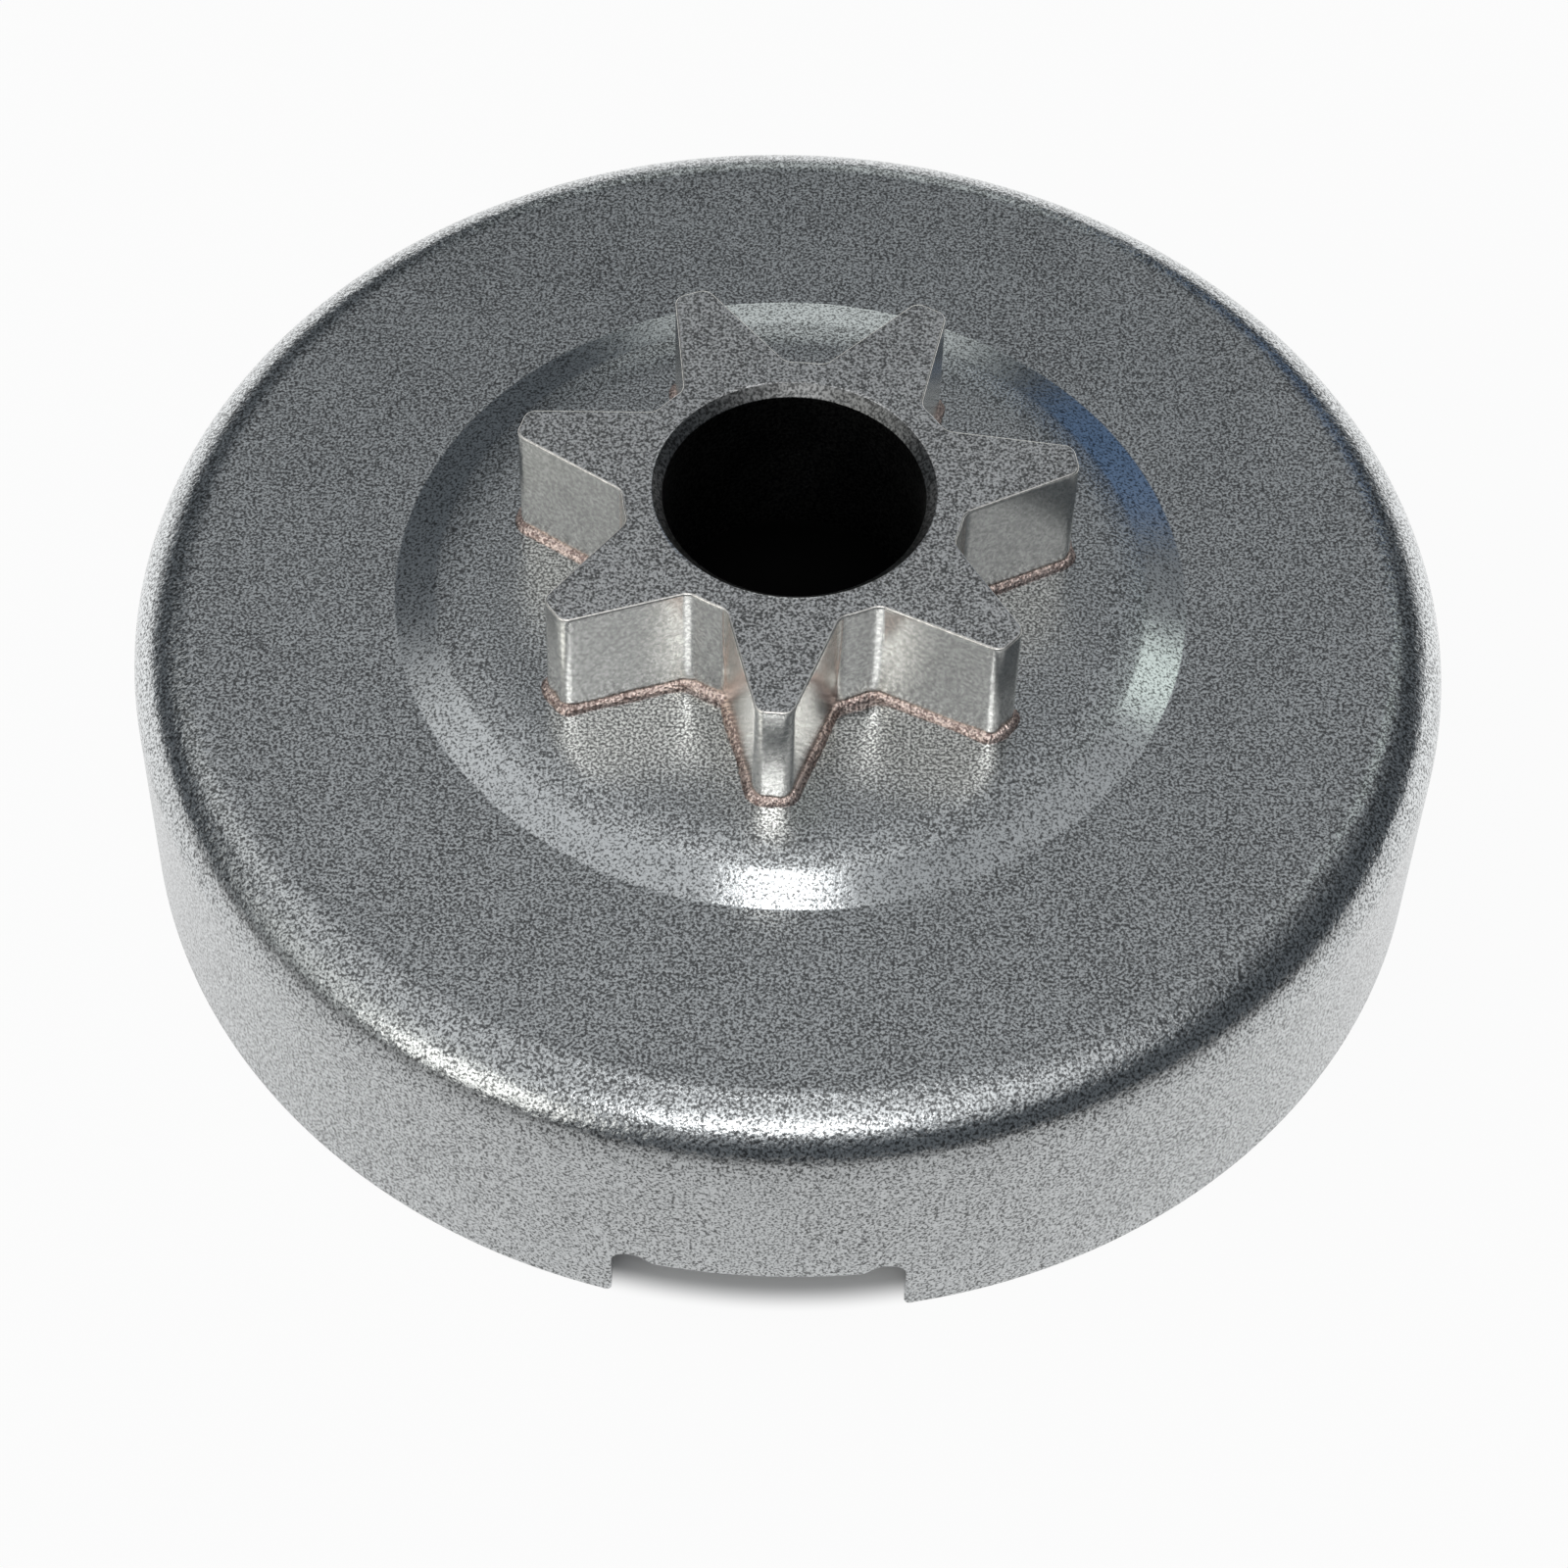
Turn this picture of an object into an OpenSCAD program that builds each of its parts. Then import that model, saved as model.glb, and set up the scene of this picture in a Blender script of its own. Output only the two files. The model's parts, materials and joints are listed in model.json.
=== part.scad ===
// Clutch drum of a chainsaw, with a spur sprocket brazed on its raised centre.
// It stands on its rim. The origin is the centre of the rim's edge, and +Z points to the sprocket.

/* [Drum cup] */
// Outer diameter of the rim wall
drum_d = 82; // [76:0.5:96]
// Height from the rim's edge to the flat web
web_h = 18.5; // [16:0.25:26]
// Thickness of the pressed sheet
sheet_t = 2; // [1.5:0.1:2.4]
// Outside radius of the corner between rim wall and web
corner_r = 4.25; // [3.5:0.25:6]
// Rounding of the rim wall's two lower edges
edge_r = 0.4; // [0.2:0.05:0.6]

/* [Raised centre] */
// Diameter of the crease where the web starts to rise
crease_d = 49.3; // [47:0.1:54]
// Width of the sloping band inside the crease
ramp_w = 2.6; // [1.6:0.1:3.2]
// Rise of the sloping band
ramp_rise = 0.66; // [0.4:0.02:0.9]
// Radius that eases the sloping band into the flat seat
crown_r = 13; // [8:0.5:15]

/* [Rim notches] */
// Number of notches that drive the oil pump
notch_n = 2; // [1:1:4]
// Width of a notch across its two walls
notch_w = 17.5; // [12:0.5:20]
// Depth of a notch from the rim's edge to its floor
notch_depth = 4.2; // [3:0.1:5]
// Radius of the relief in each inner corner of a notch
relief_r = 1.25; // [0.8:0.05:1.4]
// How much deeper the relief is than the floor
relief_depth = 0.6; // [0.3:0.05:0.75]
// Distance from a notch's wall to where its floor starts
relief_run = 2.5; // [2:0.1:3.5]
// Rounding of the rim at the mouth of a notch
mouth_r = 0.7; // [0.3:0.05:1.2]

/* [Sprocket] */
// Number of teeth
teeth = 7; // [6:1:8]
// Diameter over the tooth tips
tip_d = 34.9; // [33:0.1:37]
// Diameter across the floors of the gaps
root_d = 20.9; // [20:0.1:22]
// Width of a tooth halfway up its flanks
tooth_w = 4.3; // [3.9:0.1:4.9]
// Angle between a flank and the middle line of its tooth
flank_angle = 17; // [14:0.5:18]
// Rounding of the two corners of a tooth tip
tip_corner_r = 0.6; // [0.3:0.05:0.8]
// Fillet between a flank and the floor of a gap
gullet_r = 1; // [0.6:0.05:1.2]
// Height of the toothed part above its seat
teeth_h = 8.44; // [7:0.02:12]
// Turn of the teeth against the notches
clocking = -1.6; // [-25:0.1:25]

/* [Hub and bore] */
// Diameter of the bore for the needle bearing
bore_d = 16; // [14:0.1:16.4]
// Chamfer at the sprocket's end of the bore
bore_chamfer = 0.65; // [0.3:0.05:0.9]
// Chamfer at the inner end of the bore
inner_chamfer = 0.5; // [0.2:0.05:0.7]
// Diameter of the spigot that locates the sprocket in the cup
spigot_d = 19; // [18.6:0.1:19.8]
// Length of the spigot below the seat
spigot_l = 4.06; // [3:0.02:6]
// Radial clearance between the spigot and the hole in the cup
spigot_fit = 0.05; // [0.02:0.01:0.15]

/* [Braze] */
// Width and height of the braze fillet at the foot of the teeth
braze_w = 0.45; // [0.2:0.05:0.55]
// Gap between the fillet and the faces that it joins
braze_gap = 0.02; // [0.01:0.01:0.05]

/* [Hidden] */
$fn = 96;
// Overlap that carries a cut clear of a face
over = 1;

drum_r = drum_d / 2;
crease_r = crease_d / 2;
// The sloping band ends where the crown's arc takes over, with the same slope
ramp_in_r = crease_r - ramp_w;
ramp_slope = atan(ramp_rise / ramp_w);
crown_in_r = ramp_in_r - crown_r * sin(ramp_slope);
seat_h = web_h + ramp_rise + crown_r * (1 - cos(ramp_slope));
top_h = seat_h + teeth_h;
spigot_end_h = seat_h - spigot_l;

tip_r = tip_d / 2;
root_r = root_d / 2;
half_pitch = 180 / teeth;
// Unit vectors across and along a flank, for a tooth that points along +X
across = [sin(flank_angle), cos(flank_angle)];
along = [cos(flank_angle), -sin(flank_angle)];
// Distance of a flank's line from the axis
flank_d = tooth_w / 2 * across.y + (tip_r + root_r) / 2 * across.x;

// Points of an arc round centre c, from angle a0 to angle a1 in n steps
function arc(c, r, a0, a1, n = 8) = [for (i = [0:n]) let (a = a0 + (a1 - a0) * i / n)
    c + r * [cos(a), sin(a)]];

// Centre of the fillet in a gap, on the tooth's upper side. The fillet touches the flank and the
// root circle from outside.
function gullet_centre() = let (d = flank_d + gullet_r, r = root_r + gullet_r)
    d * across + sqrt(r * r - d * d) * along;

// Centre of the rounding of a tooth's upper tip corner, inside the flank and the flat tip
function tip_centre() = let (x = tip_r - tip_corner_r)
    [x, (flank_d - tip_corner_r - x * across.x) / across.y];

// Half of a round section: a plain wall with a rounded upper corner
module rounded_half(r, h, corner) {
    square([r - corner, h]);
    square([r, h - corner]);
    translate([r - corner, h - corner]) circle(corner);
}

// Half section under the raised centre, from just below the web to the seat
module raised_half() {
    foot = web_h - sheet_t / 2;
    square_h = seat_h - foot;
    translate([0, foot]) square([crown_in_r, square_h]);
    intersection() {
        translate([crown_in_r, foot]) square([ramp_in_r - crown_in_r, square_h]);
        translate([crown_in_r, seat_h - crown_r]) circle(crown_r);
    }
    polygon([[ramp_in_r, foot], [crease_r, foot], [crease_r, web_h], [ramp_in_r, web_h + ramp_rise]]);
}

// What rounds one lower edge of the rim wall at radius r. side is 1 outside and -1 inside.
module edge_cut(r, side) {
    difference() {
        translate([r - (side > 0 ? edge_r : over), -over]) square([edge_r + over, edge_r + over]);
        translate([r - side * edge_r, edge_r]) circle(edge_r);
        translate([side > 0 ? r - edge_r - over : r + edge_r, -over]) square([over, 2 * over + edge_r]);
    }
}

// Half section of the pressed cup, of one thickness from the hole in its centre to the rim
module cup_half() {
    difference() {
        union() {
            rounded_half(drum_r, web_h, corner_r);
            raised_half();
        }
        translate([0, -over]) rounded_half(drum_r - sheet_t, web_h - sheet_t + over, corner_r - sheet_t);
        translate([0, -sheet_t]) raised_half();
        translate([0, -over]) square([spigot_d / 2 + spigot_fit, seat_h + 2 * over]);
        edge_cut(drum_r, 1);
        edge_cut(drum_r - sheet_t, -1);
    }
}

// Outline of a notch, seen along its cut: rounded mouth, straight walls, and a relief in each
// inner corner that runs out to the floor along a tangent
module notch_outline() {
    half = notch_w / 2;
    relief = [half - relief_r, notch_depth + relief_depth - relief_r];
    // From the floor's end, the tangent leaves the relief's circle at this angle
    run = relief - [half - relief_run, notch_depth];
    touch = 180 + atan2(run.y, run.x) - acos(relief_r / norm(run));
    side = concat(
        [[half + mouth_r + over, -over], [half + mouth_r + over, 0]],
        arc([half + mouth_r, mouth_r], mouth_r, -90, -180),
        arc(relief, relief_r, 0, touch),
        [[half - relief_run, notch_depth]]);
    polygon(concat(side, [for (i = [len(side) - 1:-1:0]) [-side[i].x, side[i].y]]));
}

// One tooth, pointing along +X, with the fillets at its foot and its rounded tip corners
module tooth_outline() {
    foot = gullet_centre();
    tip = tip_centre();
    upper = [foot * root_r / norm(foot), foot, foot - gullet_r * across, tip + tip_corner_r * across,
        tip, [tip_r, tip.y]];
    difference() {
        polygon(concat([[0, 0]], upper, [for (i = [len(upper) - 1:-1:0]) [upper[i].x, -upper[i].y]]));
        for (side = [-1, 1]) translate([foot.x, side * foot.y]) circle(gullet_r);
    }
    for (side = [-1, 1]) translate([tip.x, side * tip.y]) circle(tip_corner_r);
}

module sprocket_outline() {
    circle(root_r);
    for (i = [0:teeth - 1]) rotate(i * 2 * half_pitch) tooth_outline();
}

// Points once round the sprocket, at distance gap outside its faces
function outline_points(gap) = let (
        foot = gullet_centre(),
        tip = tip_centre(),
        foot_a = atan2(foot.y, foot.x),
        upper = concat(
            arc(tip, tip_corner_r + gap, 0, 90 - flank_angle, 6),
            arc(foot, gullet_r - gap, 270 - flank_angle, 180 + foot_a, 6),
            arc([0, 0], root_r + gap, foot_a, half_pitch, 2)),
        last = len(upper) - 1,
        pitch = concat([for (i = [last - 1:-1:0]) [upper[i].x, -upper[i].y]], upper))
    [for (i = [0:teeth - 1], p = pitch) let (a = i * 2 * half_pitch)
        [p.x * cos(a) - p.y * sin(a), p.x * sin(a) + p.y * cos(a)]];

// The pressed steel cup: rim wall, rounded corner, web and raised centre
module drum_cup() {
    color([0.56, 0.58, 0.59]) difference() {
        rotate_extrude() cup_half();
        for (i = [0:notch_n - 1]) rotate([90, 0, i * 360 / notch_n]) linear_extrude(drum_d) notch_outline();
    }
}

// The toothed spur sprocket with its spigot and bearing bore
module spur_sprocket() {
    color([0.47, 0.47, 0.46]) rotate(clocking - 90) difference() {
        union() {
            translate([0, 0, seat_h]) linear_extrude(teeth_h) sprocket_outline();
            translate([0, 0, spigot_end_h]) cylinder(h = spigot_l + teeth_h / 2, d = spigot_d);
        }
        translate([0, 0, spigot_end_h - over]) cylinder(h = top_h - spigot_end_h + 2 * over, d = bore_d);
        translate([0, 0, top_h - bore_chamfer])
            cylinder(h = bore_chamfer + over, r1 = bore_d / 2, r2 = bore_d / 2 + bore_chamfer + over);
        translate([0, 0, spigot_end_h - over])
            cylinder(h = inner_chamfer + over, r1 = bore_d / 2 + inner_chamfer + over, r2 = bore_d / 2);
    }
}

// The fillet of braze metal that runs round the foot of the teeth, swept along their outline
module braze_fillet() {
    // Section of the fillet as distance from the teeth and height above the seat
    section = [[braze_gap, braze_gap], [braze_w, braze_gap], [braze_w * 0.9, braze_w * 0.35],
        [braze_w * 0.35, braze_w * 0.9], [braze_gap, braze_w]];
    rings = [for (s = section) outline_points(s.x)];
    n = len(rings[0]);
    m = len(section);
    points = [for (k = [0:m - 1], p = rings[k]) [p.x, p.y, seat_h + section[k].y]];
    faces = [for (k = [0:m - 1], i = [0:n - 1]) let (k2 = (k + 1) % m, i2 = (i + 1) % n)
        [k * n + i, k2 * n + i, k2 * n + i2, k * n + i2]];
    color([0.78, 0.5, 0.42]) rotate(clocking - 90) polyhedron(points, faces, convexity = 6);
}

drum_cup();
spur_sprocket();
braze_fillet();
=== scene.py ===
"""Dresses the clutch drum of a chainsaw: a pressed steel cup, a toothed sprocket and the braze bead between them.

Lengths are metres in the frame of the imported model. The drum stands on its rim, and +Z points to the sprocket.
"""
import json
import math

import bpy
import numpy as np
from mathutils import Euler, Matrix, Vector


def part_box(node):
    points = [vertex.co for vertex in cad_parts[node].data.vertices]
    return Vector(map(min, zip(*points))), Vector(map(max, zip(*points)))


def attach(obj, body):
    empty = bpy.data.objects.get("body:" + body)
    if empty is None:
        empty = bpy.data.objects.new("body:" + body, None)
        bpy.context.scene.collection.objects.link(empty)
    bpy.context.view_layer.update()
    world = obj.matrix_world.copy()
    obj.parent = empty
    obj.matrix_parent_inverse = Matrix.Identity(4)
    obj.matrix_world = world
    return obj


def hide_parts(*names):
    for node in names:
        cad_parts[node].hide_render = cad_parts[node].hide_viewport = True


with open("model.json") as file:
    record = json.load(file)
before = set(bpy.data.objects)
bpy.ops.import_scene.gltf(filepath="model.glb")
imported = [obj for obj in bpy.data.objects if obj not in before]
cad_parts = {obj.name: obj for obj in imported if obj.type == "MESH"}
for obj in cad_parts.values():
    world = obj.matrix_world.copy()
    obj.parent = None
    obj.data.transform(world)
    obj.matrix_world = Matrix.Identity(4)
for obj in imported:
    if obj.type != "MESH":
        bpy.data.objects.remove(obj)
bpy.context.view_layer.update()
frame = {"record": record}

bl_info = {
    "name": "Chainsaw clutch drum",
    "version": (1, 0, 0),
    "blender": (4, 5, 0),
    "location": "3D View > Sidebar > Clutch drum",
    "description": "Builds the finished surfaces of a chainsaw clutch drum round its solid model",
    "category": "Object",
}

MM = 0.001
MOUNTS = {mount["name"]: mount for mount in frame["record"]["mounts"]}
_, CUP_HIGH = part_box("drum_cup")
SPROCKET_LOW, SPROCKET_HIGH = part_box("spur_sprocket")
BORE_R = MOUNTS["bearing_bore"]["dims"]["r_mm"] * MM
INNER_R = MOUNTS["shoe_bore"]["dims"]["r_mm"] * MM


def length(name, description, default, **limits):
    """A property that holds a length."""
    return bpy.props.FloatProperty(name=name, description=description, default=default, unit="LENGTH",
                                   subtype="DISTANCE", precision=5, **limits)


def angle(name, description, degrees):
    """A property that holds an angle, given in degrees."""
    return bpy.props.FloatProperty(name=name, description=description, default=math.radians(degrees),
                                   unit="ROTATION", subtype="ANGLE")


def colour(name, description, default):
    """A property that holds a colour."""
    return bpy.props.FloatVectorProperty(name=name, description=description, default=default, size=3,
                                         min=0.0, max=1.0, subtype="COLOR")


def number(name, description, default):
    """A property that holds a plain number."""
    return bpy.props.FloatProperty(name=name, description=description, default=default)


class CupSizes(bpy.types.PropertyGroup):
    """Sizes of the pressed cup."""

    outer_r: length("Outer radius", "Radius of the rim wall's outer face", CUP_HIGH.x)
    inner_r: length("Inner radius", "Radius of the rim wall's inner face", INNER_R)
    seat_h: length("Seat height", "Height of the flat seat under the sprocket", CUP_HIGH.z)
    web_h: length("Web height", "Height of the flat web", 18.5 * MM)
    corner_r: length("Corner radius", "Outside radius of the corner between wall and web", 4.25 * MM)
    crease_r: length("Crease radius", "Radius at which the web starts to rise", 24.65 * MM)
    crease_fillet: length("Crease fillet", "Fillet radius in the crease", 0.5 * MM)
    ramp_w: length("Ramp width", "Width of the sloping band inside the crease", 2.6 * MM)
    ramp_rise: length("Ramp rise", "Rise of the sloping band", 0.66 * MM)
    crown_r: length("Crown radius", "Radius that eases the sloping band into the seat", 13 * MM)
    hole_r: length("Hole radius", "Radius of the hole for the spigot", 9.55 * MM)
    rim_round: length("Rim rounding", "Rounding of the rim's lower edges", 0.4 * MM)
    notch_round: length("Notch rounding", "Rounding of a notch's cut edges", 0.12 * MM)
    notch_w: length("Notch width", "Width of a notch across its walls", 17.5 * MM)
    notch_depth: length("Notch depth", "Depth of a notch from the rim's edge to its floor", 4.2 * MM)
    relief_r: length("Relief radius", "Radius of the relief in a notch's inner corner", 1.25 * MM)
    relief_depth: length("Relief depth", "How much deeper the relief is than the floor", 0.6 * MM)
    relief_run: length("Relief run", "Distance from a notch's wall to where its floor starts", 2.5 * MM)
    mouth_r: length("Mouth radius", "Rounding of the rim at the mouth of a notch", 0.7 * MM)
    colour: colour("Steel", "Colour of the pressed steel", (0.5, 0.515, 0.52))


class SprocketSizes(bpy.types.PropertyGroup):
    """Sizes of the toothed sprocket."""

    teeth: bpy.props.IntProperty(name="Teeth", description="Number of teeth", default=7, min=5, max=9)
    top_h: length("Top height", "Height of the sprocket's end face", SPROCKET_HIGH.z)
    end_h: length("Spigot end height", "Height of the spigot's lower end", SPROCKET_LOW.z)
    tip_r: length("Tip radius", "Radius over the tooth tips", 17.45 * MM)
    root_r: length("Root radius", "Radius of the floors of the gaps", 10.45 * MM)
    tooth_w: length("Tooth width", "Width of a tooth halfway up its flanks", 4.3 * MM)
    flank: angle("Flank angle", "Angle between a flank and the middle line of its tooth", 17)
    tip_corner_r: length("Tip corner radius", "Rounding of the corners of a tooth tip", 0.8 * MM)
    gullet_r: length("Gullet radius", "Fillet between a flank and the floor of a gap", 1 * MM)
    clocking: angle("Clocking", "Turn of the first tooth from the +X axis", -91.6)
    bore_r: length("Bore radius", "Radius of the bearing bore", BORE_R)
    chamfer: length("Bore chamfer", "Chamfer at the end face of the bore", 0.65 * MM)
    inner_chamfer: length("Inner chamfer", "Chamfer at the spigot's end of the bore", 0.5 * MM)
    spigot_r: length("Spigot radius", "Radius of the spigot", 9.5 * MM)
    edge_break: length("Edge break", "Rounding of the teeth's upper edge", 0.13 * MM)
    colour: colour("Steel", "Colour of the sprocket's steel", (0.6, 0.605, 0.6))
    flank_colour: colour("Flank steel", "Colour of the drawn flanks", (0.86, 0.84, 0.8))
    bead_w: length("Bead width", "Width and height of the braze bead", 0.45 * MM)
    bead_colour: colour("Braze", "Colour of the braze metal", (0.9, 0.66, 0.6))


class StageSettings(bpy.types.PropertyGroup):
    """Camera, floor and light."""

    camera_place: bpy.props.FloatVectorProperty(
        name="Camera place", description="Place of the camera", default=(2.045 * MM, -167.38 * MM, 217.31 * MM),
        size=3, unit="LENGTH", subtype="XYZ")
    tilt: angle("Tilt", "How far the camera looks below the horizon", 52.58)
    turn: angle("Turn", "Turn of the camera's view about the drum's axis", 0.7)
    roll: angle("Roll", "Turn of the camera about its line of sight", 2.04)
    lens: number("Lens", "Focal length in millimetres on a 36 mm sensor", 95.75)
    floor_colour: colour("Floor", "Colour of the floor", (0.9, 0.9, 0.9))


def straight(start, end, steps, hug=0.0):
    """Points spaced evenly from start up to end, without end itself. With hug, two more points lie that far from
    each end and keep the shading of a rounding off the flat beside it."""
    start, end = np.asarray(start, float), np.asarray(end, float)
    share = np.arange(steps) / steps
    if hug:
        near = hug / np.linalg.norm(end - start)
        share = np.sort(np.concatenate([share, [near, 1 - near]]))
    return start + (end - start) * share[:, None]


def bend(centre, radius, first, last, steps):
    """Points of an arc from angle first up to angle last, in degrees, without the last point: centre plus radius
    times cosine and sine."""
    turn = np.radians(first + (last - first) * np.arange(steps) / steps)
    return np.asarray(centre, float) + radius * np.stack([np.cos(turn), np.sin(turn)], axis=1)


def smooth(low, high, value):
    """Smooth step from 0 at low to 1 at high: three squares less two cubes of the share between them."""
    share = np.clip((value - low) / (high - low), 0.0, 1.0)
    return share * share * (3 - 2 * share)


def ring_mesh(name, grid, row_finish=None):
    """A closed skin through a grid of points that wraps round in both directions: each point, its neighbours along
    the row and in the next row make one four-sided face. row_finish gives the material slot of each row of faces."""
    rows, columns, _ = grid.shape
    index = np.arange(rows * columns).reshape(rows, columns)
    across, below = np.roll(index, -1, axis=1), np.roll(index, -1, axis=0)
    diagonal = np.roll(across, -1, axis=0)
    corners = np.stack([index, below, diagonal, across], axis=-1).reshape(-1, 4)
    quads = grid.reshape(-1, 3)[corners]
    halves = np.cross(quads[:, 2] - quads[:, 0], quads[:, 3] - quads[:, 1]) / 2
    if (halves * quads.mean(axis=1)).sum() < 0:
        corners = corners[:, ::-1]
    mesh = bpy.data.meshes.new(name)
    mesh.vertices.add(rows * columns)
    mesh.vertices.foreach_set("co", grid.astype(np.float32).ravel())
    mesh.loops.add(corners.size)
    mesh.loops.foreach_set("vertex_index", corners.astype(np.int32).ravel())
    mesh.polygons.add(len(corners))
    mesh.polygons.foreach_set("loop_start", np.arange(len(corners), dtype=np.int32) * 4)
    if row_finish is not None:
        mesh.polygons.foreach_set("material_index", np.repeat(np.asarray(row_finish, np.int32), columns))
    mesh.update(calc_edges=True)
    mesh.shade_smooth()
    if mesh.validate():
        raise RuntimeError(f"the surface of {name} has broken faces")
    piece = bpy.data.objects.new(name, mesh)
    bpy.context.scene.collection.objects.link(piece)
    return piece


def set_in_place(piece, node, slot, *finishes):
    """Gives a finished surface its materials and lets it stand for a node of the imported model."""
    for finish in finishes:
        piece.data.materials.append(finish)
    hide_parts(node)
    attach(piece, "root")


def spin(section, turns):
    """Every point of a section, given as radius and height, at every one of the turns about +Z: radius times
    cosine, radius times sine, height."""
    radius, height = section[:, 0, None], section[:, 1, None]
    return np.stack([radius * np.cos(turns), radius * np.sin(turns), height + 0 * turns], axis=-1)


def notch_side(cup):
    """Half of a notch's outline as distance from its middle line and height above the rim's edge, from the middle
    of the floor to the rim: floor, tangent run, relief arc, straight wall and rounded mouth."""
    half = cup.notch_w / 2
    relief = np.array([half - cup.relief_r, cup.notch_depth + cup.relief_depth - cup.relief_r])
    floor_end = np.array([half - cup.relief_run, cup.notch_depth])
    run = relief - floor_end
    leave = 180 + math.degrees(math.atan2(run[1], run[0]) - math.acos(cup.relief_r / np.linalg.norm(run)))
    touch = bend(relief, cup.relief_r, leave, 0, 1)[0]
    return np.concatenate([
        straight((0, cup.notch_depth), floor_end, 14),
        straight(floor_end, touch, 4),
        bend(relief, cup.relief_r, leave, 0, 14),
        straight(relief + [cup.relief_r, 0], (half, cup.mouth_r), 6),
        bend((half + cup.mouth_r, cup.mouth_r), cup.mouth_r, 180, 270, 9)])


def rim_curve(cup, step):
    """The rim's cut edge over a quarter turn from a notch's middle: turns on the outer face, turns on the inner
    face, height, unit normal into the sheet along and up the wall, and rounding. Inside the notch both turns are
    the arcsine of the same distance over their own radius, so that the cut's walls are parallel."""
    side = notch_side(cup)
    end = cup.notch_w / 2 + cup.mouth_r
    first = math.asin(end / cup.outer_r)
    plain = first + (math.pi / 2 - first) * np.arange(step) / (step - 0.5)
    outer = np.concatenate([np.arcsin(side[:, 0] / cup.outer_r), plain])
    lead = math.asin(end / cup.inner_r) - first
    inner = np.concatenate([np.arcsin(side[:, 0] / cup.inner_r),
                            plain + lead * (1 - smooth(first, first + 0.35, plain))])
    height = np.concatenate([side[:, 1], np.zeros(step)])
    flat = np.stack([outer * cup.outer_r, height], axis=1)
    along = np.gradient(flat, axis=0)
    along /= np.linalg.norm(along, axis=1)[:, None]
    along[0] = along[-1] = (1, 0)
    normal = np.stack([-along[:, 1], along[:, 0]], axis=1)
    out_of_notch = smooth(cup.notch_w / 2, end, np.concatenate([side[:, 0], np.full(step, end)]))
    rounding = cup.notch_round + (cup.rim_round - cup.notch_round) * out_of_notch
    return outer, inner, height, normal, rounding


def whole_turn(quarter, odd, notches=2):
    """Repeats a quarter turn of values round the drum: mirrored to each side of a notch's middle, with the sign
    changed where odd, and once for each notch."""
    mirrored = (-1 if odd else 1) * quarter[:0:-1]
    return np.tile(np.concatenate([mirrored, quarter]), notches)


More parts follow.
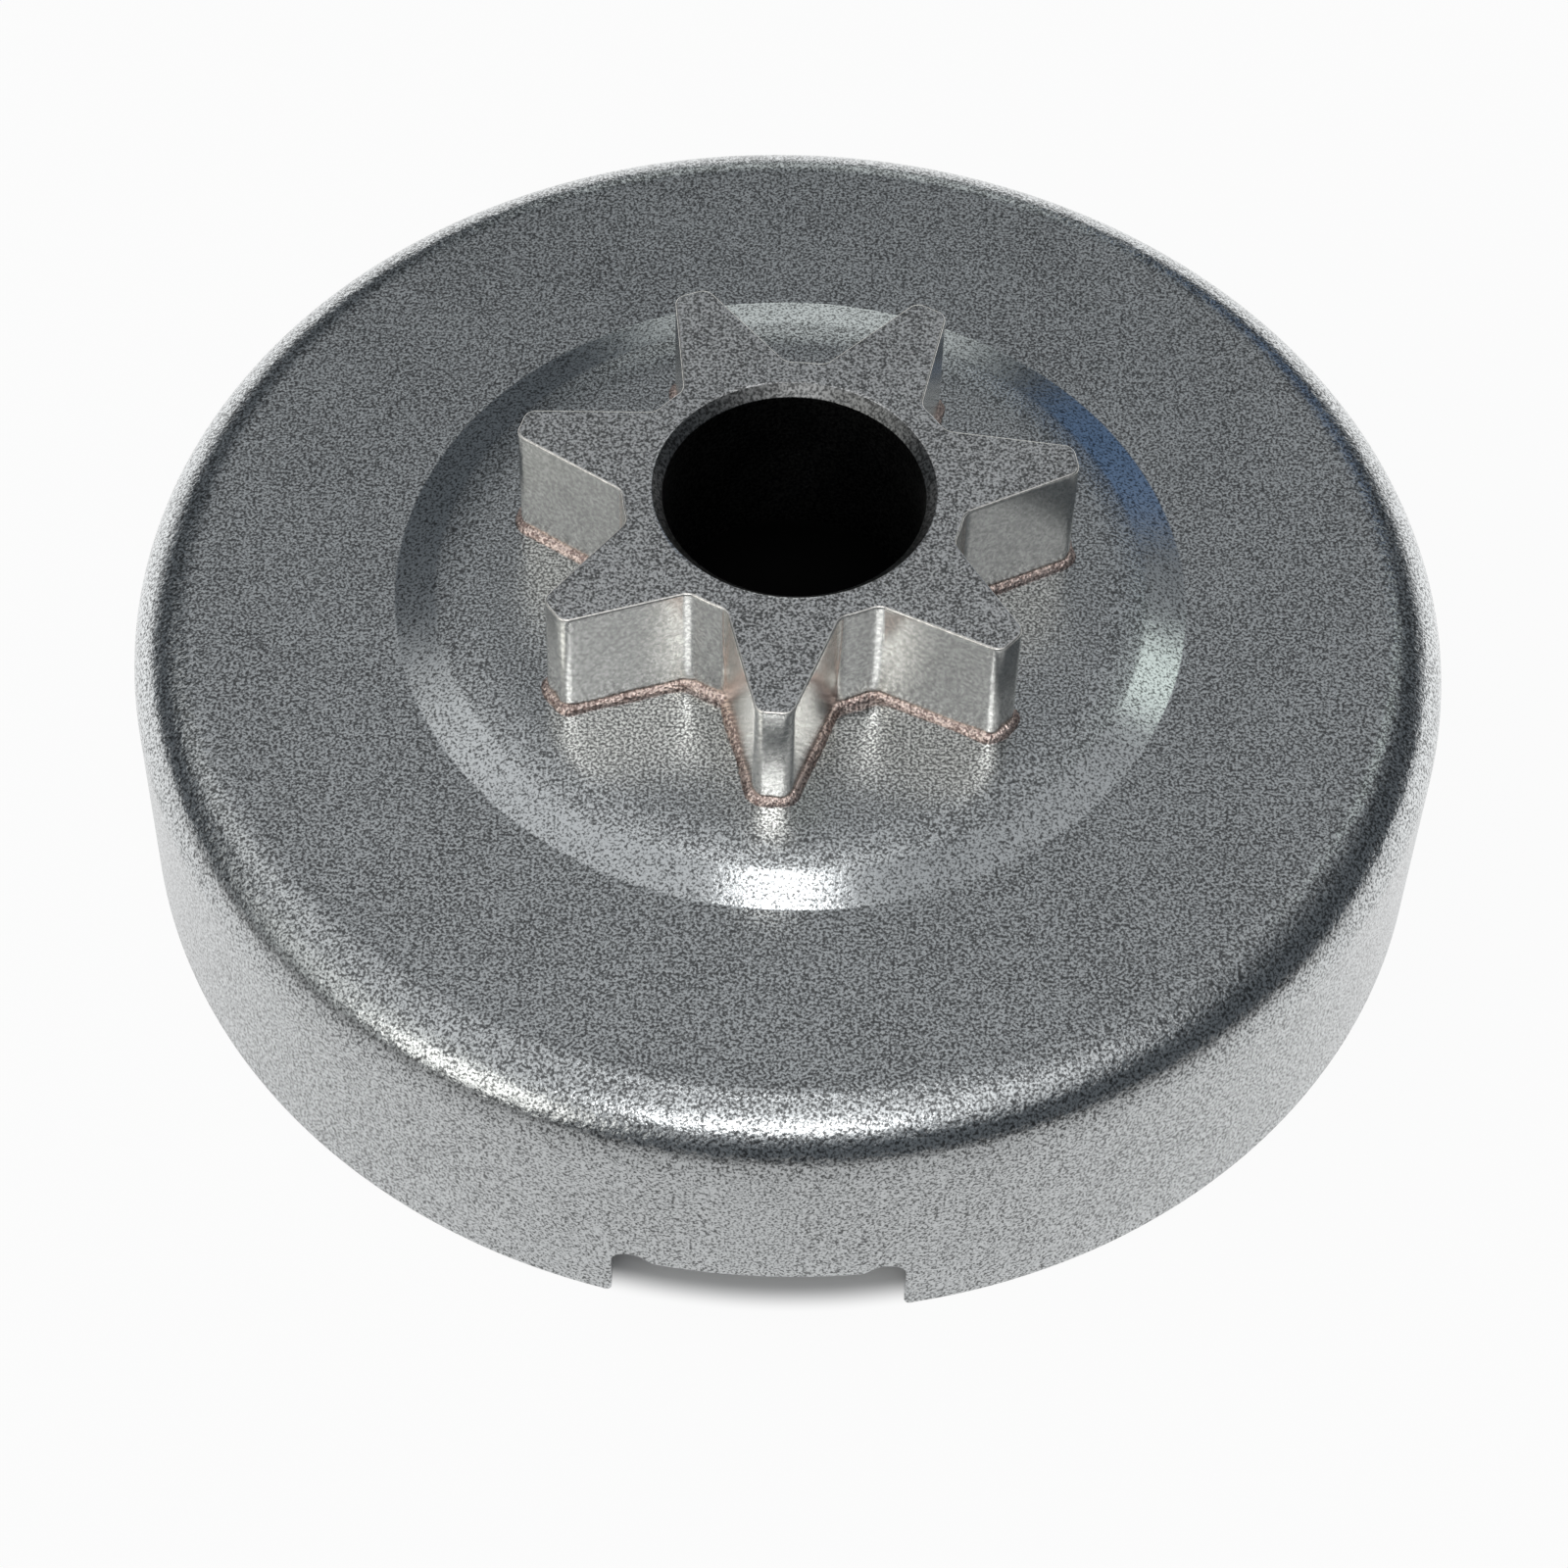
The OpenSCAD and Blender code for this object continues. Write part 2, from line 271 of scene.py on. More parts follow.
def cup_grid(cup, step=126):
    """The cup's skin as a closed section carried round +Z. Above the corner's foot every ring is evenly spaced.
    Below it, each ring of the wall goes by shares from the cut edge to that even ring."""
    outer, inner, height, normal, rounding = rim_curve(cup, step)
    half_turn = 2 * len(outer) - 1
    middles = np.repeat(np.array([-0.5, 0.5]) * math.pi, half_turn)
    outer_turn = whole_turn(outer, True) + middles
    inner_turn = whole_turn(inner, True) + middles
    height, rounding = whole_turn(height, False), whole_turn(rounding, False)
    side_on, up = whole_turn(normal[:, 0], True), whole_turn(normal[:, 1], False)
    count = len(outer_turn)
    even = np.pi * (np.arange(count) - (half_turn - 1) / 2) / half_turn - math.pi / 2

    sheet = cup.outer_r - cup.inner_r
    hub_z = cup.web_h - cup.corner_r
    corner = np.array([cup.outer_r - cup.corner_r, hub_z])
    slope = math.atan(cup.ramp_rise / cup.ramp_w)
    ramp_top = np.array([cup.crease_r - cup.ramp_w, cup.web_h + cup.ramp_rise])
    crown = np.array([ramp_top[0] - cup.crown_r * math.sin(slope), cup.seat_h - cup.crown_r])
    lean = math.degrees(slope)
    tuck = cup.crease_fillet * math.tan(slope / 2)
    fillet = np.array([cup.crease_r + tuck, cup.web_h + cup.crease_fillet])
    ramp_foot = bend(fillet, cup.crease_fillet, -90 - lean, -90, 1)[0]
    hug = 0.08 * MM
    above = np.concatenate([
        straight((cup.hole_r, cup.seat_h), (crown[0], cup.seat_h), 4),
        bend(crown, cup.crown_r, 90, 90 - lean, 9),
        straight(ramp_top, ramp_foot, 5, hug),
        bend(fillet, cup.crease_fillet, -90 - lean, -90, 5),
        straight((fillet[0], cup.web_h), (corner[0], cup.web_h), 10, hug),
        bend(corner, cup.corner_r, 90, 0, 24)])
    down = [0, -sheet]
    below = np.concatenate([
        bend(corner, cup.corner_r - sheet, 0, 90, 12),
        straight((corner[0], cup.web_h - sheet), (cup.crease_r, cup.web_h - sheet), 8, hug),
        straight((cup.crease_r, cup.web_h - sheet), ramp_top + down, 3, hug),
        bend(crown + down, cup.crown_r, 90 - lean, 90, 6),
        straight((crown[0], cup.seat_h - sheet), (cup.hole_r, cup.seat_h - sheet), 3),
        straight((cup.hole_r, cup.seat_h - sheet), (cup.hole_r, cup.seat_h), 2)])

    def cut_ring(inset, offset):
        """A ring near the cut: inset from the outer face and offset from the cut edge along its normal."""
        radius = cup.outer_r - inset
        share = inset / sheet
        turn = outer_turn + (inner_turn - outer_turn) * share + offset * side_on / radius
        return radius, turn, height + offset * up

    def placed(radius, turn, z):
        return np.stack([radius * np.cos(turn), radius * np.sin(turn), z + 0 * turn], axis=-1)

    foot = cut_ring(0.0, rounding)
    wall = [placed(foot[0], foot[1] + (even - foot[1]) * s, foot[2] + (hub_z - foot[2]) * s)
            for s in np.linspace(1, 0, 14)[:-1] ** 1.5]
    quarter = np.radians(np.linspace(0, 90, 6))
    lip = [placed(*cut_ring(rounding * (1 - math.cos(q)), rounding * (1 - math.sin(q)))) for q in quarter]
    lip += [placed(*cut_ring(sheet - rounding * (1 - math.sin(q)), rounding * (1 - math.cos(q)))) for q in quarter]
    foot = cut_ring(sheet, rounding)
    lining = [placed(foot[0], foot[1] + (even - foot[1]) * s, foot[2] + (hub_z - foot[2]) * s)
              for s in np.linspace(0, 1, 9)[1:-1] ** 1.5]
    return np.concatenate([spin(above, even), np.array(wall), np.array(lip), np.array(lining), spin(below, even)])


def tooth_side(sprocket, gap, fine):
    """Half of a tooth's outline, for a tooth that points along +X, moved outwards by gap: flat tip, tip corner,
    flank, gullet and floor. Each arc keeps its centre, and its radius grows or shrinks by gap."""
    a = sprocket.flank
    across, along = np.array([math.sin(a), math.cos(a)]), np.array([math.cos(a), -math.sin(a)])
    flank_d = sprocket.tooth_w / 2 * across[1] + (sprocket.tip_r + sprocket.root_r) / 2 * across[0]
    reach = flank_d + sprocket.gullet_r
    foot = reach * across + math.sqrt((sprocket.root_r + sprocket.gullet_r) ** 2 - reach ** 2) * along
    tip_x = sprocket.tip_r - sprocket.tip_corner_r
    tip = np.array([tip_x, (flank_d - sprocket.tip_corner_r - tip_x * across[0]) / across[1]])
    lean, foot_turn = math.degrees(a), math.degrees(math.atan2(foot[1], foot[0]))
    corner_r, gullet_r, root_r = sprocket.tip_corner_r + gap, sprocket.gullet_r - gap, sprocket.root_r + gap
    flank = tip + corner_r * across, foot - gullet_r * across
    return np.concatenate([
        straight((sprocket.tip_r + gap, 0), tip + [corner_r, 0], 3 * fine),
        bend(tip, corner_r, 0, 90 - lean, 7 * fine),
        straight(flank[0], flank[1], 14 * fine),
        bend(foot, gullet_r, 270 - lean, 180 + foot_turn, 9 * fine),
        bend((0, 0), root_r, foot_turn, 180 / sprocket.teeth, 3 * fine)])


def tooth_ring(sprocket, gap=0.0, fine=1):
    """The whole outline of the sprocket at distance gap outside its faces, as a closed row of points: half a tooth
    mirrored about its middle line, then repeated and turned."""
    upper = tooth_side(sprocket, gap, fine)
    last = bend((0, 0), sprocket.root_r + gap, 180 / sprocket.teeth, 0, 1)
    pitch = np.concatenate([(upper * [1, -1])[:0:-1], upper, last])
    turns = sprocket.clocking + 2 * math.pi * np.arange(sprocket.teeth) / sprocket.teeth
    x, y = pitch[:, 0], pitch[:, 1]
    cos, sin = np.cos(turns)[:, None], np.sin(turns)[:, None]
    return np.stack([x * cos - y * sin, x * sin + y * cos], axis=-1).reshape(-1, 2)


def at_height(ring, z):
    """A flat ring of points at height z."""
    return np.column_stack([ring, np.full(len(ring), z)])


def sprocket_grid(sprocket, seat_h):
    """The sprocket's skin: rings up the bore, out over the end face by shares of the way from bore to outline,
    down the flanks, in under the teeth and down the spigot. Returns the points and each ring's finish: 0 for faces,
    1 for flanks and 2 for the bore."""
    outline = tooth_ring(sprocket)
    turns = np.arctan2(outline[:, 1], outline[:, 0])
    bore, chamfer, inner, edge = sprocket.bore_r, sprocket.chamfer, sprocket.inner_chamfer, sprocket.edge_break
    top, end = sprocket.top_h, sprocket.end_h
    hug = 0.05 * MM
    up = spin(np.concatenate([
        straight((bore + inner, end), (bore, end + inner), 2, hug),
        straight((bore, end + inner), (bore, top - chamfer), 6, hug),
        straight((bore, top - chamfer), (bore + chamfer, top), 3, hug)]), turns)
    brink = tooth_ring(sprocket, -edge)
    inside = (bore + chamfer) * np.stack([np.cos(turns), np.sin(turns)], axis=1)
    shares = np.array([0, 0.03, 0.15, 0.3, 0.45, 0.6, 0.75, 0.9, 0.97])
    face = np.array([at_height(inside + (brink - inside) * s, top) for s in shares])
    brow = np.array([at_height(tooth_ring(sprocket, edge * (math.sin(q) - 1)), top - edge * (1 - math.cos(q)))
                     for q in np.radians(np.arange(0, 90, 18))])
    depths = top - edge - (top - edge - seat_h) * np.array([0, 0.02, 0.25, 0.5, 0.75, 0.98])
    flank = np.array([at_height(outline, z) for z in depths])
    spigot = sprocket.spigot_r * np.stack([np.cos(turns), np.sin(turns)], axis=1)
    under = np.array([at_height(outline + (spigot - outline) * s, seat_h) for s in (0, 0.5)])
    down = spin(np.concatenate([
        straight((sprocket.spigot_r, seat_h), (sprocket.spigot_r, end), 3, hug),
        straight((sprocket.spigot_r, end), (bore + inner, end), 2, hug)]), turns)
    finish = [2] * len(up) + [0] * len(face) + [1] * (len(brow) + len(flank)) + [0] * (len(under) + len(down))
    return np.concatenate([up, face, brow, flank, under, down]), finish


def wander(count, waves, rng):
    """A closed row of smooth random values of about 1 in size: a sum of whole waves round the row with random
    heights and starts."""
    turn = 2 * math.pi * np.arange(count) / count
    mixed = 40
    number_of = rng.integers(waves[0], waves[1], mixed)
    height, start = rng.normal(size=mixed), rng.uniform(0, 2 * math.pi, mixed)
    total = (height[:, None] * np.cos(number_of[:, None] * turn + start[:, None])).sum(axis=0)
    return total / math.sqrt(mixed / 2)


def bead_grid(sprocket, seat_h, fine=4):
    """The braze bead: a quarter round swept along the foot of the teeth. Its size wanders slowly along the way,
    and small grains lift single points. Every ring is the outline at its own distance from the teeth."""
    rng = np.random.default_rng(7)
    count = len(tooth_ring(sprocket, 0.0, fine))
    size = sprocket.bead_w * (0.92 + 0.07 * wander(count, (5, 60), rng))
    sink = 0.05 * MM
    quarter = np.radians(np.linspace(0, 90, 9))
    near, far = tooth_ring(sprocket, 0.0, fine), tooth_ring(sprocket, sprocket.bead_w, fine)
    outward = (far - near) / sprocket.bead_w
    grid = [np.column_stack([near - outward * sink, np.full(count, seat_h - sink)])]
    grid.append(np.column_stack([near + outward * size[:, None], np.full(count, seat_h - sink)]))
    for q in quarter:
        bulge = 1 - 0.16 * math.sin(2 * q)
        grain = 1 + 0.06 * rng.normal(size=count) * math.sin(2 * q) + 0.05 * wander(count, (200, 900), rng)
        reach = size * bulge * grain
        grid.append(np.column_stack([near + outward * (reach * math.cos(q))[:, None],
                                     seat_h + reach * math.sin(q)]))
    grid.append(np.column_stack([near - outward * sink, seat_h + size]))
    return np.array(grid)


def add(tree, kind, inputs=None, **settings):
    """Adds a shader node. An input is either linked, where its value is a socket, or set to that value."""
    node = tree.nodes.new(kind)
    for name, value in settings.items():
        setattr(node, name, value)
    for name, value in (inputs or {}).items():
        if isinstance(value, bpy.types.NodeSocket):
            tree.links.new(value, node.inputs[name])
        else:
            node.inputs[name].default_value = value
    return node


def sum_up(tree, operation, a, b=0.5, c=0.5):
    """One step of arithmetic on sockets or numbers."""
    return add(tree, "ShaderNodeMath", {0: a, 1: b, 2: c}, operation=operation).outputs[0]


def step_up(tree, value, low, high):
    """Smooth step of a socket from 0 at low to 1 at high."""
    return add(tree, "ShaderNodeMapRange", {"Value": value, "From Min": low, "From Max": high},
               interpolation_type="SMOOTHSTEP").outputs["Result"]


def blend(tree, share, first, second):
    """Mixes two colours, sockets or values, by share."""
    node = add(tree, "ShaderNodeMix", {0: share}, data_type="RGBA")
    for socket, value in ((6, first), (7, second)):
        if isinstance(value, bpy.types.NodeSocket):
            tree.links.new(value, node.inputs[socket])
        else:
            node.inputs[socket].default_value = (*value[:3], 1)
    return node.outputs[2]


def noise(tree, place, size, detail, roughness):
    """Cloudy noise whose blobs are about size metres across, in Object coordinates."""
    return add(tree, "ShaderNodeTexNoise", {"Vector": place, "Scale": 1 / size, "Detail": detail,
                                            "Roughness": roughness}).outputs["Fac"]


def new_finish(name):
    """An empty node material with its output, shader and Object coordinates."""
    finish = bpy.data.materials.new(name)
    finish.use_nodes = True
    tree = finish.node_tree
    tree.nodes.clear()
    shader = add(tree, "ShaderNodeBsdfPrincipled", {"Metallic": 1.0})
    add(tree, "ShaderNodeOutputMaterial", {"Surface": shader.outputs[0]})
    place = add(tree, "ShaderNodeTexCoord").outputs["Object"]
    return finish, tree, shader, place


def shade(value, factor):
    """A colour made lighter or darker."""
    return tuple(min(1.0, channel * factor) for channel in value)


def centred(tree, value, amount):
    """Noise brought round zero and scaled: the value less a half, times amount."""
    return sum_up(tree, "MULTIPLY", sum_up(tree, "SUBTRACT", value, 0.5), amount)


def wire_steel(tree, shader, base, dark, light, tone, rough, height):
    """Joins a steel's tone, roughness and height to its shader. tone is 0.5 where the steel has its own colour, and
    height is in millimetres."""
    tint = blend(tree, step_up(tree, tone, 0.0, 1.0), shade(base, dark), shade(base, light))
    tree.links.new(tint, shader.inputs["Base Color"])
    if isinstance(rough, bpy.types.NodeSocket):
        tree.links.new(rough, shader.inputs["Roughness"])
    else:
        shader.inputs["Roughness"].default_value = rough
    bump = add(tree, "ShaderNodeBump", {"Strength": 1.0, "Distance": MM, "Height": height})
    tree.links.new(bump.outputs[0], shader.inputs["Normal"])


def pressed_finish(cup):
    """Blasted pressed steel: a pebbled web, a burnished sloping band, an orange-peel corner and a satin wall."""
    finish, tree, shader, place = new_finish("pressed_steel")
    axes = add(tree, "ShaderNodeSeparateXYZ", {"Vector": place}).outputs
    flat = add(tree, "ShaderNodeCombineXYZ", {"X": axes[0], "Y": axes[1]}).outputs[0]
    radius = add(tree, "ShaderNodeVectorMath", {0: flat}, operation="LENGTH").outputs["Value"]
    ramp_in, hair = cup.crease_r - cup.ramp_w, 0.15 * MM
    band = sum_up(tree, "MULTIPLY", step_up(tree, radius, ramp_in - 2 * hair, ramp_in + 2 * hair),
                  step_up(tree, radius, cup.crease_r + hair, cup.crease_r - hair))
    wall = step_up(tree, radius, cup.outer_r - 0.6 * cup.corner_r, cup.outer_r - 0.05 * cup.corner_r)
    bent = step_up(tree, radius, cup.outer_r - 1.15 * cup.corner_r, cup.outer_r - 0.7 * cup.corner_r)
    pebble = noise(tree, place, 0.17 * MM, 1, 0.6)
    peel = noise(tree, place, 0.5 * MM, 2, 0.5)
    cloud = noise(tree, place, 6 * MM, 3, 0.55)
    tone = sum_up(tree, "ADD", 0.5, centred(tree, pebble, 3.2))
    tone = sum_up(tree, "ADD", tone, centred(tree, cloud, 0.2))
    tone = sum_up(tree, "MULTIPLY_ADD", wall, 0.17, tone)
    tone = sum_up(tree, "MULTIPLY_ADD", band, 0.2, tone)
    rough = sum_up(tree, "ADD", 0.25, centred(tree, cloud, 0.06))
    rough = sum_up(tree, "MULTIPLY_ADD", band, -0.14, rough)
    rough = sum_up(tree, "MULTIPLY_ADD", bent, -0.05, rough)
    depth = sum_up(tree, "MULTIPLY_ADD", wall, -0.006, 0.014)
    depth = sum_up(tree, "MULTIPLY_ADD", band, -0.011, depth)
    height = sum_up(tree, "MULTIPLY", pebble, depth)
    height = sum_up(tree, "ADD", height, sum_up(tree, "MULTIPLY", peel, sum_up(
        tree, "MULTIPLY_ADD", bent, 0.035, 0.005)))
    wire_steel(tree, shader, cup.colour, 0.3, 1.7, tone, rough, height)
    return finish


def sprocket_finishes(sprocket):
    """The sprocket's steels: blasted end face, smooth drawn flanks and turned bore, whose steel is darkened to a
    third as painted shade inside the bore.
    """
    made = []
    for name, base, rough, grain, depth, contrast in (
            ("sprocket_face_steel", sprocket.colour, 0.3, 0.17 * MM, 0.012, 0.7),
            ("sprocket_flank_steel", sprocket.flank_colour, 0.2, 0.25 * MM, 0.002, 0.15),
            # Painted shade: the bore's steel is darkened to 0.3 of the sprocket's colour, standing in for the shade
            # inside the bore.
            ("sprocket_bore_painted_shade", shade(sprocket.colour, 0.3), 0.32, 0.2 * MM, 0.006, 0.6)):
        finish, tree, shader, place = new_finish(name)
        pebble = noise(tree, place, grain, 1, 0.6)
        cloud = noise(tree, place, 3 * MM, 3, 0.55)
        tone = sum_up(tree, "ADD", 0.5, centred(tree, pebble, 3.0))
        tone = sum_up(tree, "ADD", tone, centred(tree, cloud, 0.3))
        rough = sum_up(tree, "ADD", rough, centred(tree, cloud, 0.08))
        wire_steel(tree, shader, base, 1 - contrast, 1 + contrast, tone, rough,
                   sum_up(tree, "MULTIPLY", pebble, depth))
        made.append(finish)
    return made


def braze_finish(sprocket):
    """Copper braze: pink grains over darker metal."""
    finish, tree, shader, place = new_finish("braze_metal")
    grain = noise(tree, place, 0.16 * MM, 1, 0.6)
    cloud = noise(tree, place, 1.5 * MM, 2, 0.5)
    tone = sum_up(tree, "ADD", centred(tree, grain, 3.4), cloud)
    wire_steel(tree, shader, sprocket.bead_colour, 0.35, 1.25, tone, 0.35, sum_up(tree, "MULTIPLY", grain, 0.05))
    return finish


SOFT_BOXES = (
    # name, azimuth from the camera towards +X, elevation, half width, soft edge, colour
    ("ceiling", 0, 88, 8, 52, (0.2, 0.2, 0.2)),
    ("left sky", -51, 55, 20, 36, (0.3, 0.3, 0.3)),
    ("right sky", 30, 60, 12, 22, (0.5, 0.5, 0.5)),
    ("left side", -116, 45, 6, 12, (0.32, 0.32, 0.31)),
    ("low left", -65, 25, 12, 20, (0.33, 0.33, 0.31)),
    ("low lamp", -42, 19, 8, 12, (1.1, 1.08, 1.02)),
    ("front lamp left", -13, 48, 4, 6, (2.6, 2.6, 2.6)),
    ("front lamp right", 8, 52, 4, 6, (2.6, 2.6, 2.6)),
    ("overhead lamp", 180, 81, 2, 3, (2.1, 2.1, 2.1)),
    ("rear left glow", -154, 58, 6, 12, (0.2, 0.2, 0.2)),
    ("rear right glow", 150, 54, 8, 20, (0.13, 0.13, 0.13)),
    ("green pane", 140, 46, 2, 4, (0.5, 0.57, 0.52)),
    ("blue pane", 158, 28, 4, 6, (0.0, 0.04, 0.12)),
    ("rear strip", 180, 24, 4, 9, (0.55, 0.57, 0.55)),
)
ROOM = (0.085, 0.095, 0.105)


def aimed(azimuth, elevation):
    """Unit vector towards a place in the studio: azimuth from the camera's side towards +X, and elevation."""
    a, e = math.radians(azimuth), math.radians(elevation)
    return (math.sin(a) * math.cos(e), -math.cos(a) * math.cos(e), math.sin(e))


def studio_world():
    """A dim room with soft boxes, and white where the camera looks past the floor."""
    world = bpy.data.worlds.new("studio")
    world.use_nodes = True
    tree = world.node_tree
    tree.nodes.clear()
    towards = add(tree, "ShaderNodeTexCoord").outputs["Generated"]
    light = ROOM
    for name, azimuth, elevation, half, edge, tint in SOFT_BOXES:
        facing = add(tree, "ShaderNodeVectorMath", {0: towards, 1: aimed(azimuth, elevation)},
                     operation="DOT_PRODUCT", label=name).outputs["Value"]
        share = step_up(tree, facing, math.cos(math.radians(half + edge)), math.cos(math.radians(half)))
        glow = add(tree, "ShaderNodeVectorMath", {0: tint, "Scale": share}, operation="SCALE").outputs[0]
        light = add(tree, "ShaderNodeVectorMath", {0: light, 1: glow}, operation="ADD").outputs[0]
    axes = add(tree, "ShaderNodeSeparateXYZ", {"Vector": towards}).outputs
    backdrop = sum_up(tree, "MULTIPLY", step_up(tree, axes["Z"], 0.2, 0.06), step_up(tree, axes["Y"], 0.4, 0.9))
    light = blend(tree, backdrop, light, (1, 1, 1))
    rays = add(tree, "ShaderNodeLightPath").outputs
    seen = blend(tree, rays["Is Camera Ray"], light, (1, 1, 1))
    background = add(tree, "ShaderNodeBackground", {"Color": seen, "Strength": 1.0})
    add(tree, "ShaderNodeOutputWorld", {"Surface": background.outputs[0]})
    bpy.context.scene.world = world


def stage_floor(colour_of_floor, drum_r):
    """A wide flat floor at the rim's edge. It takes the drum's shadow, and a share of plain white keeps it pale in
    the picture and in the steel. Under the drum the paper is painted nearly black as painted shade, and the white
    seen in the steel is dimmed in front of the drum as painted shade."""
    reach = 3.0
    mesh = bpy.data.meshes.new("floor")
    mesh.from_pydata([(-reach, -reach, 0), (reach, -reach, 0), (reach, reach, 0), (-reach, reach, 0)], [],
                     [(0, 1, 2, 3)])
    floor = bpy.data.objects.new("floor", mesh)
    bpy.context.scene.collection.objects.link(floor)
    finish = bpy.data.materials.new("floor_paper")
    finish.use_nodes = True
    tree = finish.node_tree
    tree.nodes.clear()
    rays = add(tree, "ShaderNodeLightPath").outputs
    shown = sum_up(tree, "MAXIMUM", rays["Is Camera Ray"], rays["Is Transmission Ray"])
    camera_white = 0.94
    share = sum_up(tree, "MAXIMUM", sum_up(tree, "MULTIPLY", shown, camera_white), rays["Is Glossy Ray"])
    place = add(tree, "ShaderNodeTexCoord").outputs["Object"]
    radius = add(tree, "ShaderNodeVectorMath", {0: place}, operation="LENGTH").outputs["Value"]
    share = sum_up(tree, "MULTIPLY", share, step_up(tree, radius, drum_r - 2 * MM, drum_r))
    # Painted shade seen only in the steel: the floor's white is dimmed in front of the drum, and further off far in
    # front of it.
    front_painted_shade, far_painted_shade = 0.5, 0.65
    axes = add(tree, "ShaderNodeSeparateXYZ", {"Vector": place}).outputs
    front = step_up(tree, axes["Y"], 0.7 * drum_r, -1.7 * drum_r)
    far = sum_up(tree, "MULTIPLY", step_up(tree, radius, 2 * drum_r, 5 * drum_r),
                 step_up(tree, axes["Y"], 2 * drum_r, -drum_r))
    white_level_painted_shade = sum_up(tree, "MULTIPLY_ADD", front, -front_painted_shade, 1.0)
    white_level_painted_shade = sum_up(tree, "MULTIPLY", white_level_painted_shade, sum_up(tree, "MULTIPLY_ADD", far, -far_painted_shade, 1.0))
    white_level_painted_shade = sum_up(tree, "MAXIMUM", shown, white_level_painted_shade)
    # Painted shade: the paper's colour falls to almost black under the drum, from half its radius to just inside the
    # rim.
    dark = shade(colour_of_floor, 0.02)
    paper = add(tree, "ShaderNodeBsdfDiffuse", {
        "Color": blend(tree, step_up(tree, radius, 0.5 * drum_r, drum_r - 2 * MM), dark, colour_of_floor)})
    white = add(tree, "ShaderNodeEmission", {"Color": (1, 1, 1, 1), "Strength": white_level_painted_shade})
    both = add(tree, "ShaderNodeMixShader", {0: share, 1: paper.outputs[0], 2: white.outputs[0]})
    add(tree, "ShaderNodeOutputMaterial", {"Surface": both.outputs[0]})
    mesh.materials.append(finish)


def stage_camera(stage):
    """The camera at the photograph's viewing angle: turned to the drum, tilted down and rolled."""
    data = bpy.data.cameras.new("camera")
    data.lens = stage.lens
    data.sensor_width = 36.0
    data.clip_start, data.clip_end = 0.005, 20.0
    camera = bpy.data.objects.new("camera", data)
    bpy.context.scene.collection.objects.link(camera)
    turned = Euler((math.pi / 2 - stage.tilt, 0.0, stage.turn), "XYZ").to_matrix()
    rolled = turned @ Matrix.Rotation(stage.roll, 3, "Z")
    camera.matrix_world = Matrix.Translation(Vector(stage.camera_place)) @ rolled.to_4x4()
    bpy.context.scene.camera = camera


class CLUTCHDRUM_OT_cup(bpy.types.Operator):
    """Build the pressed steel cup"""

    bl_idname = "clutchdrum.cup"
    bl_label = "Pressed cup"

    def execute(self, context):
        cup = context.scene.drum_cup_sizes
        piece = ring_mesh("pressed_cup", cup_grid(cup))
        set_in_place(piece, "drum_cup", "pressed_steel", pressed_finish(cup))
        return {"FINISHED"}


class CLUTCHDRUM_OT_sprocket(bpy.types.Operator):
    """Build the toothed sprocket with its spigot and bore"""

    bl_idname = "clutchdrum.sprocket"
    bl_label = "Toothed sprocket"

    def execute(self, context):
        sprocket = context.scene.drum_sprocket_sizes
        grid, finish = sprocket_grid(sprocket, context.scene.drum_cup_sizes.seat_h)
        piece = ring_mesh("toothed_sprocket", grid, finish)
        set_in_place(piece, "spur_sprocket", "sprocket_steel", *sprocket_finishes(sprocket))
        return {"FINISHED"}


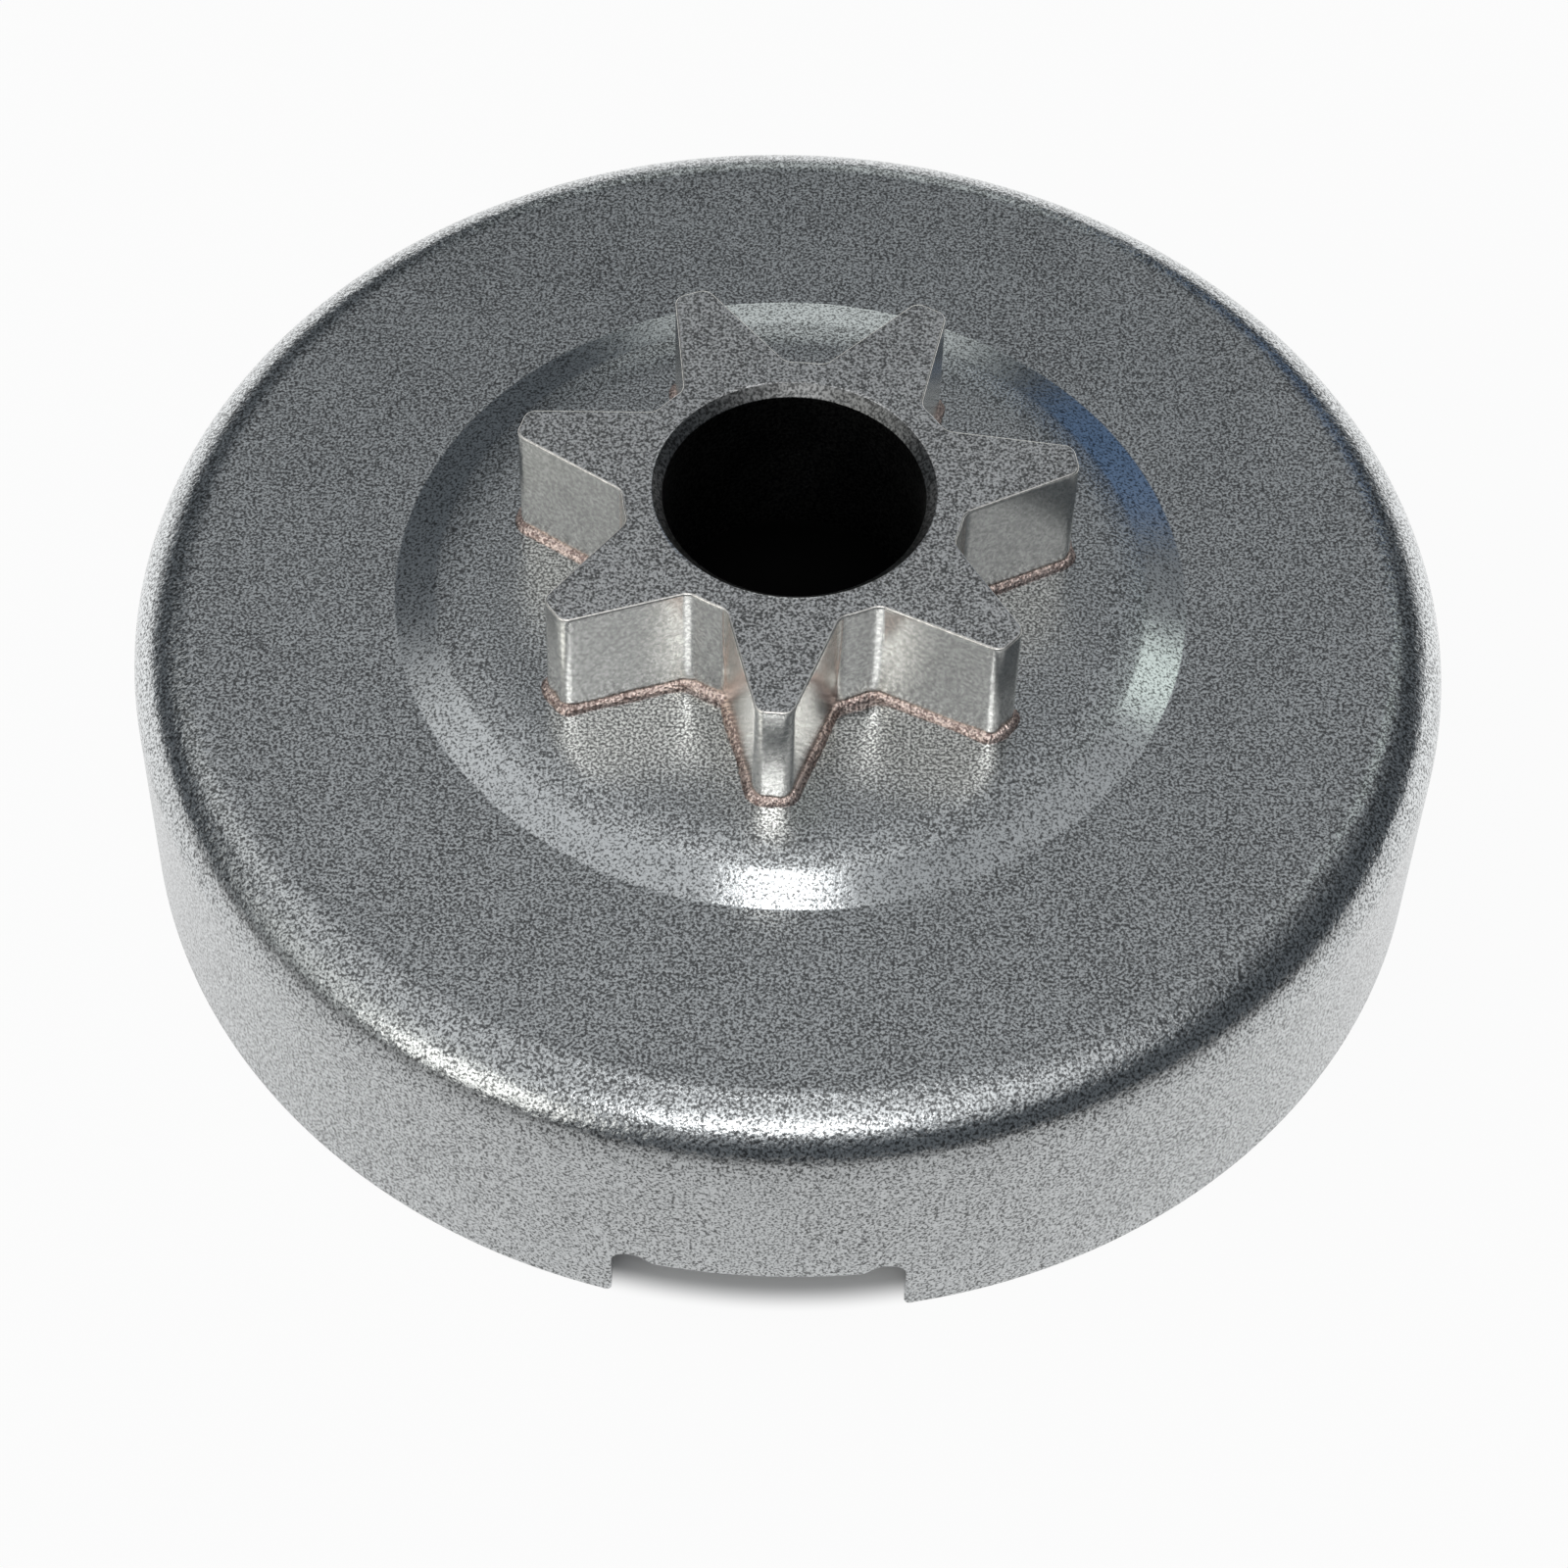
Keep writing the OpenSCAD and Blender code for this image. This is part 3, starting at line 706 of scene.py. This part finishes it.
class CLUTCHDRUM_OT_bead(bpy.types.Operator):
    """Build the braze bead round the foot of the teeth"""

    bl_idname = "clutchdrum.bead"
    bl_label = "Braze bead"

    def execute(self, context):
        sprocket = context.scene.drum_sprocket_sizes
        piece = ring_mesh("braze_bead", bead_grid(sprocket, context.scene.drum_cup_sizes.seat_h))
        set_in_place(piece, "braze_fillet", "braze_metal", braze_finish(sprocket))
        return {"FINISHED"}


class CLUTCHDRUM_OT_stage(bpy.types.Operator):
    """Build the floor, the light and the camera"""

    bl_idname = "clutchdrum.stage"
    bl_label = "Stage"

    def execute(self, context):
        stage = context.scene.drum_stage
        stage_floor(stage.floor_colour, context.scene.drum_cup_sizes.outer_r)
        studio_world()
        stage_camera(stage)
        context.scene.view_settings.view_transform = "Standard"
        return {"FINISHED"}


OPERATORS = (CLUTCHDRUM_OT_stage, CLUTCHDRUM_OT_cup, CLUTCHDRUM_OT_sprocket, CLUTCHDRUM_OT_bead)


class CLUTCHDRUM_PT_panel(bpy.types.Panel):
    """Lists the pieces of the drum"""

    bl_idname = "CLUTCHDRUM_PT_panel"
    bl_label = "Clutch drum"
    bl_space_type = "VIEW_3D"
    bl_region_type = "UI"
    bl_category = "Clutch drum"

    def draw(self, context):
        for operator in OPERATORS:
            self.layout.operator(operator.bl_idname)
        for group in SETTINGS:
            for name in getattr(context.scene, group).bl_rna.properties.keys():
                if name not in ("rna_type", "name"):
                    self.layout.prop(getattr(context.scene, group), name)


SETTINGS = {"drum_cup_sizes": CupSizes, "drum_sprocket_sizes": SprocketSizes, "drum_stage": StageSettings}


def register():
    for kind in (*SETTINGS.values(), *OPERATORS, CLUTCHDRUM_PT_panel):
        bpy.utils.register_class(kind)
    for name, kind in SETTINGS.items():
        setattr(bpy.types.Scene, name, bpy.props.PointerProperty(type=kind))


def unregister():
    for name in SETTINGS:
        delattr(bpy.types.Scene, name)
    for kind in (CLUTCHDRUM_PT_panel, *OPERATORS[::-1], *reversed(SETTINGS.values())):
        bpy.utils.unregister_class(kind)


def main():
    """Registers the add-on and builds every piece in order."""
    register()
    bpy.ops.clutchdrum.stage()
    bpy.ops.clutchdrum.cup()
    bpy.ops.clutchdrum.sprocket()
    bpy.ops.clutchdrum.bead()


if __name__ == "__main__":
    main()
